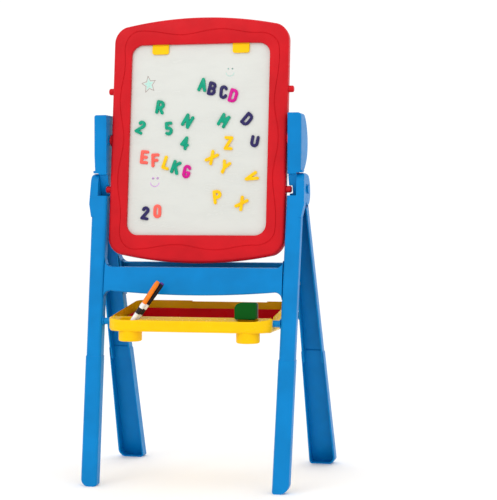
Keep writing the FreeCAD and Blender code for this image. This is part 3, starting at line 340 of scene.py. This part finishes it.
def matt_floor(name):
    """Studio floor: plain white paint."""
    material, tree, shader = new_material(name)
    place = add_node(tree, "TexCoord").outputs["Object"]
    # barely uneven, in patches of about a third of a metre
    mottle = add_node(tree, "TexNoise", links={"Vector": place},
                      inputs={"Scale": 1.0 / (333.33 * MM)})
    colour = colour_ramp(tree, mottle.outputs["Fac"], linear("#FBFBFB"), linear("#FDFDFD"))
    tree.links.new(colour, shader.inputs["Base Color"])
    set_inputs(shader, Roughness=0.9)
    return material


def finish_recipes():
    """For each finish: the function that makes it, its material's name and its settings."""
    colours = bpy.context.scene.easel_colours
    recipes = {
        "blue_frame": (moulded_polypropylene, "blue_polypropylene", colours.leg_blue),
        "red_frame": (moulded_polypropylene, "red_polypropylene", colours.frame_red, 0.34),
        "red_liner": (moulded_polypropylene, "liner_polypropylene", colours.liner_red, 0.3),
        "yellow_tray": (moulded_polypropylene, "yellow_polypropylene", colours.tray_yellow,
                        0.22, 0.04, 0.02),
        "screw_steel": (zinc_plate, "zinc_plated_steel"),
        "whiteboard": (dry_wipe_enamel, "dry_wipe_enamel", colours.enamel_white),
        "chalkboard": (slate_paint, "slate_paint", colours.slate),
        "core_board": (moulded_polypropylene, "core_polypropylene", "#D8D8D4", 0.6),
        "eraser_back": (closed_foam, "eraser_foam", colours.eraser_green),
        "eraser_felt": (wool_felt, "pressed_felt", "#2C2F2F"),
        "orange_cap": (gloss_styrene, "orange_styrene", "#F0801E"),
        "black_cap": (gloss_styrene, "black_styrene", "#16131A"),
        "marker_white": (gloss_styrene, "white_styrene", "#F0F0EE"),
        "purple_cap": (gloss_styrene, "purple_styrene", "#5A2E86"),
        "grey_ink": (dry_ink, "grey_ink", "#8E7F78"),
        "mint_ink": (dry_ink, "mint_ink", "#A9CFC4"),
        "lilac_ink": (dry_ink, "lilac_ink", "#CF9AD8"),
        "label_ink": (gloss_styrene, "label_ink", "#222126"),
    }
    for colour in MAGNET_COLOURS:
        tone = getattr(colours, "magnet_" + colour)
        recipes[colour + "_magnet"] = (gloss_styrene, colour + "_styrene", tone)
    return recipes


MATERIALS = {}


def finish_of(key):
    """The shared material for a finish, made the first time it is asked for."""
    if key not in MATERIALS:
        maker, *settings = finish_recipes()[key]
        MATERIALS[key] = maker(*settings)
    return MATERIALS[key]


# ------------------------------------------------------------------ mesh helpers
def finish_piece(name, mesh_edit, finish, body, nodes=(), smooth=40.0):
    """Object from a finished bmesh, with its finish, body and the CAD nodes it stands for.

    Edges that turn by less than the smooth angle, in degrees, are shaded smooth.
    """
    mesh = bpy.data.meshes.new(name)
    mesh_edit.normal_update()
    mesh_edit.to_mesh(mesh)
    mesh_edit.free()
    piece = bpy.data.objects.new(name, mesh)
    bpy.context.scene.collection.objects.link(piece)
    mesh.materials.append(finish_of(finish))
    for polygon in mesh.polygons:
        polygon.use_smooth = True
    mesh.set_sharp_from_angle(angle=math.radians(smooth))
    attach(piece, body)
    if nodes:
        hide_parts(*nodes)
    return piece


def merged_copy(node):
    """A CAD node's mesh with its loose triangles joined and its flat faces made whole."""
    copy = bmesh.new()
    copy.from_mesh(frame["nodes"][node].data)
    bmesh.ops.remove_doubles(copy, verts=copy.verts, dist=WELD)
    bmesh.ops.dissolve_limit(copy, angle_limit=math.radians(1.0), verts=copy.verts,
                             edges=copy.edges)
    return copy


def rounded(shape, edges, radius, segments):
    """Round some edges of a bmesh to a radius."""
    bmesh.ops.bevel(shape, geom=edges, offset=radius, segments=segments, profile=0.5,
                    affect="EDGES", clamp_overlap=True, material=-1)


def spun(profile, steps=40):
    """Solid of revolution about Z from a profile that is closed or runs from axis to axis."""
    shape = bmesh.new()
    points = [shape.verts.new((r, 0.0, z)) for r, z in profile]
    edges = [shape.edges.new(pair) for pair in zip(points, points[1:])]
    bmesh.ops.spin(shape, geom=points + edges, cent=(0, 0, 0), axis=(0, 0, 1), dvec=(0, 0, 0),
                   angle=2 * math.pi, steps=steps, use_duplicate=False)
    bmesh.ops.remove_doubles(shape, verts=shape.verts, dist=WELD)
    bmesh.ops.recalc_face_normals(shape, faces=shape.faces)
    return shape


def in_mm(*points):
    """Turned profile given in millimetres, as metres."""
    return [(r * MM, z * MM) for r, z in points]


# ------------------------------------------------------------------ board frame outlines
def arc_reach(centre_x, centre_z, radius, c, s):
    """Distance from the middle to the far side of a circle along the direction (c, s)."""
    along = centre_x * c + centre_z * s
    inside = along ** 2 - centre_x ** 2 - centre_z ** 2 + radius ** 2
    return along + math.sqrt(max(0.0, inside))


def oblong_reach(size, angle):
    """Distance from the middle to a rounded oblong along a direction."""
    half_w, half_h, radius = size
    c, s = abs(math.cos(angle)), abs(math.sin(angle))
    if half_w * s <= (half_h - radius) * c:
        return half_w / c
    if half_h * c <= (half_w - radius) * s:
        return half_h / s
    return arc_reach(half_w - radius, half_h - radius, radius, c, s)


def arched_reach(angle, inset):
    """Distance from the middle to the frame's outer edge: straight sides, arched ends."""
    c, s = abs(math.cos(angle)), abs(math.sin(angle))
    corner_x, corner_z, corner_r = FRAME_CORNER
    side = (FRAME_SIDE - inset) / max(c, 0.001)
    arch = arc_reach(0.0, FRAME_TOP - inset - FRAME_ARCH_R, FRAME_ARCH_R, c, s)
    corner = arc_reach(corner_x, corner_z, corner_r - inset, c, s)
    if corner * s > corner_z and corner * c > corner_x:
        return min(arch, corner)
    return min(arch, side)


def ring_loop(shape, reaches, depth, angles):
    """Closed loop of vertices round the middle at one depth."""
    return [shape.verts.new((math.cos(a) * r, depth, math.sin(a) * r))
            for a, r in zip(angles, reaches)]


def slot_reach(angle):
    """The opening's edge, let back where a paper clip's barrel lies in the frame."""
    plain = oblong_reach(OPENING, angle)
    if math.sin(angle) <= 0.5:   # the sides and the bottom have no clips
        return plain
    x = CLIP_Z * math.cos(angle) / math.sin(angle)
    if any(abs(x - clip) < CLIP_SLOT_HALF for clip in CLIP_X):
        return CLIP_SLOT_TOP / math.sin(angle)
    return plain


def wave_reaches(angles):
    """Distances from the middle to the wavy line, with even waves along its path."""
    sizes = bpy.context.scene.easel_sizes
    path = [oblong_reach(WAVE_PATH, a) for a in angles]
    points = [(r * math.cos(a), r * math.sin(a)) for r, a in zip(path, angles)]
    lengths = [0.0]
    for near, far in zip(points, points[1:] + points[:1]):
        lengths.append(lengths[-1] + math.dist(near, far))
    phase = [math.pi * (0.5 + 2 * sizes.wave_count * v / lengths[-1]) for v in lengths[:-1]]
    return [r + sizes.wave_swing * math.sin(t) for r, t in zip(path, phase)]


def frame_section(angles, with_slots):
    """Loops of a shell from its outer edge over its face to its pocket: (reaches, depth)."""
    sizes = bpy.context.scene.easel_sizes
    loops = [([arched_reach(a, 0.0) for a in angles], 0.0)]
    for step in range(EDGE_STEPS + 1):
        turn = 0.5 * math.pi * step / EDGE_STEPS
        inset = FRAME_EDGE_R * (1 - math.cos(turn))
        loops.append(([arched_reach(a, inset) for a in angles],
                      -SHELL + FRAME_EDGE_R * (1 - math.sin(turn))))
    wave = wave_reaches(angles)
    for place, sink in GROOVE_PROFILE:
        offset = 0.5 * place * sizes.groove_width
        loops.append(([r + offset for r in wave], -SHELL + sink * sizes.groove_depth))
    for step in range(LIP_STEPS + 1):
        turn = 0.5 * math.pi * step / LIP_STEPS
        grown = OPENING_LIP_R * (1 - math.sin(turn))
        size = [v + grown for v in OPENING]
        loops.append(([oblong_reach(size, a) for a in angles],
                      -SHELL + OPENING_LIP_R * (1 - math.cos(turn))))
    opening = [oblong_reach(OPENING, a) for a in angles]
    slot = [slot_reach(a) for a in angles] if with_slots else opening
    pocket = [oblong_reach(POCKET, a) for a in angles]
    return loops + [(opening, SLOT_ROOF), (slot, SLOT_ROOF), (slot, -REBATE),
                    (pocket, -REBATE), (pocket, 0.0)]


def frame_ring(with_slots):
    """One shell of the board's frame: rounded outer edge, wavy groove, opening and pocket."""
    angles = [2 * math.pi * i / RING_STEPS for i in range(RING_STEPS)]
    shape = bmesh.new()
    rings = [ring_loop(shape, reaches, depth, angles)
             for reaches, depth in frame_section(angles, with_slots)]
    for near, far in zip(rings, rings[1:] + rings[:1]):
        for i in range(RING_STEPS):
            j = (i + 1) % RING_STEPS
            shape.faces.new((near[i], near[j], far[j], far[i]))
    bmesh.ops.remove_doubles(shape, verts=shape.verts, dist=WELD)
    bmesh.ops.recalc_face_normals(shape, faces=shape.faces)
    return shape


# ------------------------------------------------------------------ pen marks
def ink_strokes(strokes, width):
    """Flat pen strokes on the dry-wipe panel through lists of (x, height) points."""
    shape = bmesh.new()
    for points in strokes:
        for a, b in zip(points, points[1:]):
            along = Vector(b) - Vector(a)
            middle = 0.5 * (Vector(a) + Vector(b))
            place = Matrix.Translation((middle.x, -PANEL_FACE - STROKE_LIFT, middle.y))
            turn = Matrix.Rotation(-math.atan2(along.y, along.x), 4, "Y")
            length = along.length + STROKE_OVERLAP * width
            size = Matrix.Diagonal((length, STROKE_THICKNESS, width, 1.0))
            bmesh.ops.create_cube(shape, size=1.0, matrix=place @ turn @ size)
    return shape


def ink_patch(outline):
    """Flat inked patch on the dry-wipe panel inside an outline."""
    shape = bmesh.new()
    near = [shape.verts.new((x, -PANEL_FACE - PATCH_HALF, z)) for x, z in outline]
    far = [shape.verts.new((x, -PANEL_FACE + PATCH_HALF, z)) for x, z in outline]
    shape.faces.new(near)
    shape.faces.new(far[::-1])
    count = len(outline)
    for i in range(count):
        j = (i + 1) % count
        shape.faces.new((near[j], near[i], far[i], far[j]))
    bmesh.ops.recalc_face_normals(shape, faces=shape.faces)
    return shape


def bow(x, z, radius, start, stop, steps=10):
    """Points along an arc on the panel, angles in degrees."""
    angles = [math.radians(start + (stop - start) * i / steps) for i in range(steps + 1)]
    return [(x + radius * math.cos(a), z + radius * math.sin(a)) for a in angles]


def star_outline(size):
    """Closed outline of the star, from its slightly turned top point round to it again."""
    points = []
    for i in range(2 * STAR_POINTS + 1):
        radius = size * STAR_RADII[i % 2]
        angle = math.radians(100 + 180 / STAR_POINTS * i)
        points.append((STAR[0] + STAR_NARROWING * radius * math.cos(angle),
                       STAR[1] + radius * math.sin(angle)))
    return points


# ------------------------------------------------------------------ operators
class EASEL_OT_stage(bpy.types.Operator):
    """Set the pale floor, the soft studio light and the camera"""
    bl_idname = "easel.stage"
    bl_label = "Set Stage"

    def execute(self, context):
        scene = context.scene
        scene.view_settings.view_transform = "Standard"
        ground = bmesh.new()
        bmesh.ops.create_grid(ground, x_segments=1, y_segments=1, size=FLOOR_HALF)
        mesh = bpy.data.meshes.new("floor")
        ground.to_mesh(mesh)
        ground.free()
        floor = bpy.data.objects.new("floor", mesh)
        mesh.materials.append(matt_floor("floor_paint"))
        scene.collection.objects.link(floor)

        world = scene.world or bpy.data.worlds.new("studio")
        scene.world = world
        world.use_nodes = True
        sky = next(n for n in world.node_tree.nodes if n.type == "BACKGROUND")
        sky.inputs["Color"].default_value = (1.0, 1.0, 1.0, 1.0)
        sky.inputs["Strength"].default_value = SKY_STRENGTH

        for name, place, size, power in LAMPS:
            lamp = bpy.data.lights.new(name, "AREA")
            lamp.energy = power
            lamp.size = size
            holder = bpy.data.objects.new(name, lamp)
            holder.location = place
            beam = Vector(LAMP_AIM) - Vector(place)
            holder.rotation_euler = beam.to_track_quat("-Z", "Y").to_euler()
            scene.collection.objects.link(holder)

        away = Vector((math.sin(CAMERA_AZIMUTH) * math.cos(CAMERA_PITCH),
                       -math.cos(CAMERA_AZIMUTH) * math.cos(CAMERA_PITCH),
                       math.sin(CAMERA_PITCH)))
        lens = bpy.data.cameras.new("camera")
        lens.sensor_width = SENSOR_WIDTH
        lens.lens = FOCAL_LENGTH
        lens.shift_x = LENS_SHIFT
        lens.clip_end = VIEW_DEPTH
        eye = bpy.data.objects.new("camera", lens)
        eye.location = CAMERA_PLACE
        eye.rotation_euler = away.to_track_quat("Z", "Y").to_euler()
        scene.collection.objects.link(eye)
        scene.camera = eye
        return {"FINISHED"}


class EASEL_OT_mouldings(bpy.types.Operator):
    """Give every carried-over part its moulded, plated or painted finish"""
    bl_idname = "easel.mouldings"
    bl_label = "Finish Mouldings"

    def execute(self, context):
        for node, piece in frame["nodes"].items():
            piece.data.materials.clear()
            piece.data.materials.append(finish_of(SLOT_OF[node]))
            for polygon in piece.data.polygons:
                polygon.material_index = 0
        return {"FINISHED"}


class EASEL_OT_board_frame(bpy.types.Operator):
    """Shape the two shells of the board's frame with their wavy grooves"""
    bl_idname = "easel.board_frame"
    bl_label = "Shape Board Frame"

    def execute(self, context):
        for name, node, turn in (("front_shell", "board_front_frame", 0.0),
                                 ("rear_shell", "board_rear_frame", math.pi)):
            shape = frame_ring(turn == 0.0)
            bmesh.ops.transform(shape, matrix=BOARD_PLACE @ Matrix.Rotation(turn, 4, "Z"),
                                verts=shape.verts)
            finish_piece(name, shape, "red_frame", BODY_OF[node], [node], smooth=50.0)
        return {"FINISHED"}


class EASEL_OT_magnets(bpy.types.Operator):
    """Round the front edges of the magnetic characters"""
    bl_idname = "easel.magnets"
    bl_label = "Shape Magnets"

    def execute(self, context):
        edge = context.scene.easel_sizes.magnet_edge
        front = Matrix.Rotation(-BOARD_LEAN, 3, "X") @ Vector((0, -1, 0))
        for colour in MAGNET_COLOURS:
            node = colour + "_magnets"
            shape = merged_copy(node)
            rims = []
            for seam in shape.edges:
                facing = [f.normal.dot(front) for f in seam.link_faces]
                # a rim has the front face on one side and a wall on the other
                if len(facing) == 2 and max(facing) > 0.99 and min(facing) < 0.5:
                    rims.append(seam)
            rounded(shape, rims, edge, 3)
            finish_piece(colour + "_characters", shape, colour + "_magnet", BODY_OF[node], [node])
        return {"FINISHED"}


class EASEL_OT_markers(bpy.types.Operator):
    """Turn the two markers: barrel, ribbed cap, end plug and printed band"""
    bl_idname = "easel.markers"
    bl_label = "Turn Markers"

    def execute(self, context):
        barrel = in_mm((0, 0), (3.6, 0), (4.4, 0.25), (5.0, 1.0), (5.2, 2.2), (5.2, 83), (4.9, 84.4),
                       (4.9, 87.2), (4.2, 87.5), (4.2, 88.1), (0, 88.1))
        cap = in_mm((4.25, 88.2), (5.0, 88.2), (5.2, 88.5), (5.2, 112), (5.05, 112.4), (5.05, 113.4),
                    (5.2, 113.8), (5.2, 118), (5.05, 118.4), (5.05, 119.4), (5.2, 119.8), (5.1, 138),
                    (4.7, 140.2), (4.0, 141.2), (0, 141.2))
        inside = in_mm((0, 94.0), (4.25, 94.0))
        plug = in_mm((0, 141.25), (4.3, 141.25), (4.3, 142.6), (3.7, 143.6), (2.6, 144), (0, 144))
        band = in_mm((5.21, 62), (5.27, 62), (5.27, 76), (5.21, 76))
        ring = in_mm((5.21, 4), (5.26, 4), (5.26, 6.5), (5.21, 6.5))
        # finish of the cap, and finish and slot of the end plug
        looks = {"left": ("orange_cap", "orange_cap", "orange_cap"),
                 "right": ("black_cap", "purple_cap", "black_cap")}
        for side, (cap_key, plug_key, plug_slot) in looks.items():
            node = side + "_marker_body"
            place = self.stand(node)
            parts = (("barrel", spun(barrel), "marker_white", "marker_white", [node]),
                     ("cap", spun(inside + cap), cap_key, cap_key, [side + "_marker_cap"]),
                     ("plug", spun(plug), plug_key, plug_slot, []),
                     ("band", spun(band + band[:1]), "label_ink", "black_cap", []),
                     ("ring", spun(ring + ring[:1]), cap_key, cap_key, []))
            for label, shape, finish, slot, nodes in parts:
                bmesh.ops.transform(shape, matrix=place, verts=shape.verts)
                finish_piece(side + "_marker_" + label, shape, finish, BODY_OF[node], nodes)
        return {"FINISHED"}

    def stand(self, node):
        """Where the marker's foot stands and how it leans, from its lifting joint and mesh."""
        body = BODY_OF[node]
        axis = Vector(next(j["axis"] for j in frame["joints"] if j["name"] == body + "_lift"))
        corners = [v.co for v in frame["nodes"][node].data.vertices]
        low = min(c.dot(axis) for c in corners)
        foot = [c for c in corners if c.dot(axis) < low + 0.01 * MM]
        middle = sum(foot, Vector()) / len(foot)
        return Matrix.Translation(middle) @ axis.to_track_quat("Z", "Y").to_matrix().to_4x4()


class EASEL_OT_eraser(bpy.types.Operator):
    """Round the eraser's back and its felt pad"""
    bl_idname = "easel.eraser"
    bl_label = "Shape Eraser"

    def execute(self, context):
        for node, name, edge in (("eraser_back", "eraser_block", 2.6 * MM),
                                 ("eraser_felt", "eraser_pad", 0.8 * MM)):
            shape = merged_copy(node)
            rims = [e for e in shape.edges if e.calc_face_angle(0.0) > math.radians(60)]
            rounded(shape, rims, edge, 4)
            finish_piece(name, shape, node, BODY_OF[node], [node])
        return {"FINISHED"}


class EASEL_OT_ink(bpy.types.Operator):
    """Draw the pen marks that are left on the dry-wipe panel"""
    bl_idname = "easel.ink"
    bl_label = "Draw Ink Marks"

    def execute(self, context):
        star = star_outline(1.0)
        patch = star_outline(STAR_FILL)[:-1]
        # two small faces, each a smile and two dots for eyes
        lilac = [bow(-95 * MM, -92 * MM, 10 * MM, 190, 350)]
        lilac += [bow(x * MM, -84 * MM, 1.8 * MM, 0, 360) for x in (-99, -89)]
        mint = [bow(66 * MM, 146 * MM, 9 * MM, 190, 350)]
        mint += [bow(x * MM, 153 * MM, 1.2 * MM, 0, 360) for x in (62, 71)]
        marks = (("star_fill", ink_patch(patch), "mint_ink"),
                 ("star_line", ink_strokes([star], 1.1 * MM), "grey_ink"),
                 ("lilac_marks", ink_strokes(lilac, 1.8 * MM), "lilac_ink"),
                 ("mint_marks", ink_strokes(mint, 1.4 * MM), "mint_ink"))
        for name, shape, finish in marks:
            bmesh.ops.transform(shape, matrix=BOARD_PLACE, verts=shape.verts)
            finish_piece(name, shape, finish, BODY_OF["whiteboard_panel"], [])
        return {"FINISHED"}


class EASEL_PT_panel(bpy.types.Panel):
    """Buttons that build the easel"""
    bl_idname = "EASEL_PT_panel"
    bl_label = "Kids Easel"
    bl_space_type = "VIEW_3D"
    bl_region_type = "UI"
    bl_category = "Easel"

    def draw(self, context):
        for group in (context.scene.easel_sizes, context.scene.easel_colours):
            for key in group.bl_rna.properties.keys():
                if key not in ("rna_type", "name"):
                    self.layout.prop(group, key)
        for operator in OPERATORS:
            self.layout.operator(operator.bl_idname)


OPERATORS = (EASEL_OT_stage, EASEL_OT_mouldings, EASEL_OT_board_frame, EASEL_OT_magnets,
             EASEL_OT_markers, EASEL_OT_eraser, EASEL_OT_ink)
CLASSES = (EASEL_PG_colours, EASEL_PG_sizes) + OPERATORS + (EASEL_PT_panel,)


def register():
    for item in CLASSES:
        bpy.utils.register_class(item)
    bpy.types.Scene.easel_colours = PointerProperty(type=EASEL_PG_colours)
    bpy.types.Scene.easel_sizes = PointerProperty(type=EASEL_PG_sizes)


def unregister():
    del bpy.types.Scene.easel_sizes
    del bpy.types.Scene.easel_colours
    for item in reversed(CLASSES):
        bpy.utils.unregister_class(item)


def build():
    """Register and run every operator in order."""
    register()
    for operator in OPERATORS:
        family, action = operator.bl_idname.split(".")
        getattr(getattr(bpy.ops, family), action)()
    bpy.context.view_layer.update()


if __name__ == "__main__":
    build()
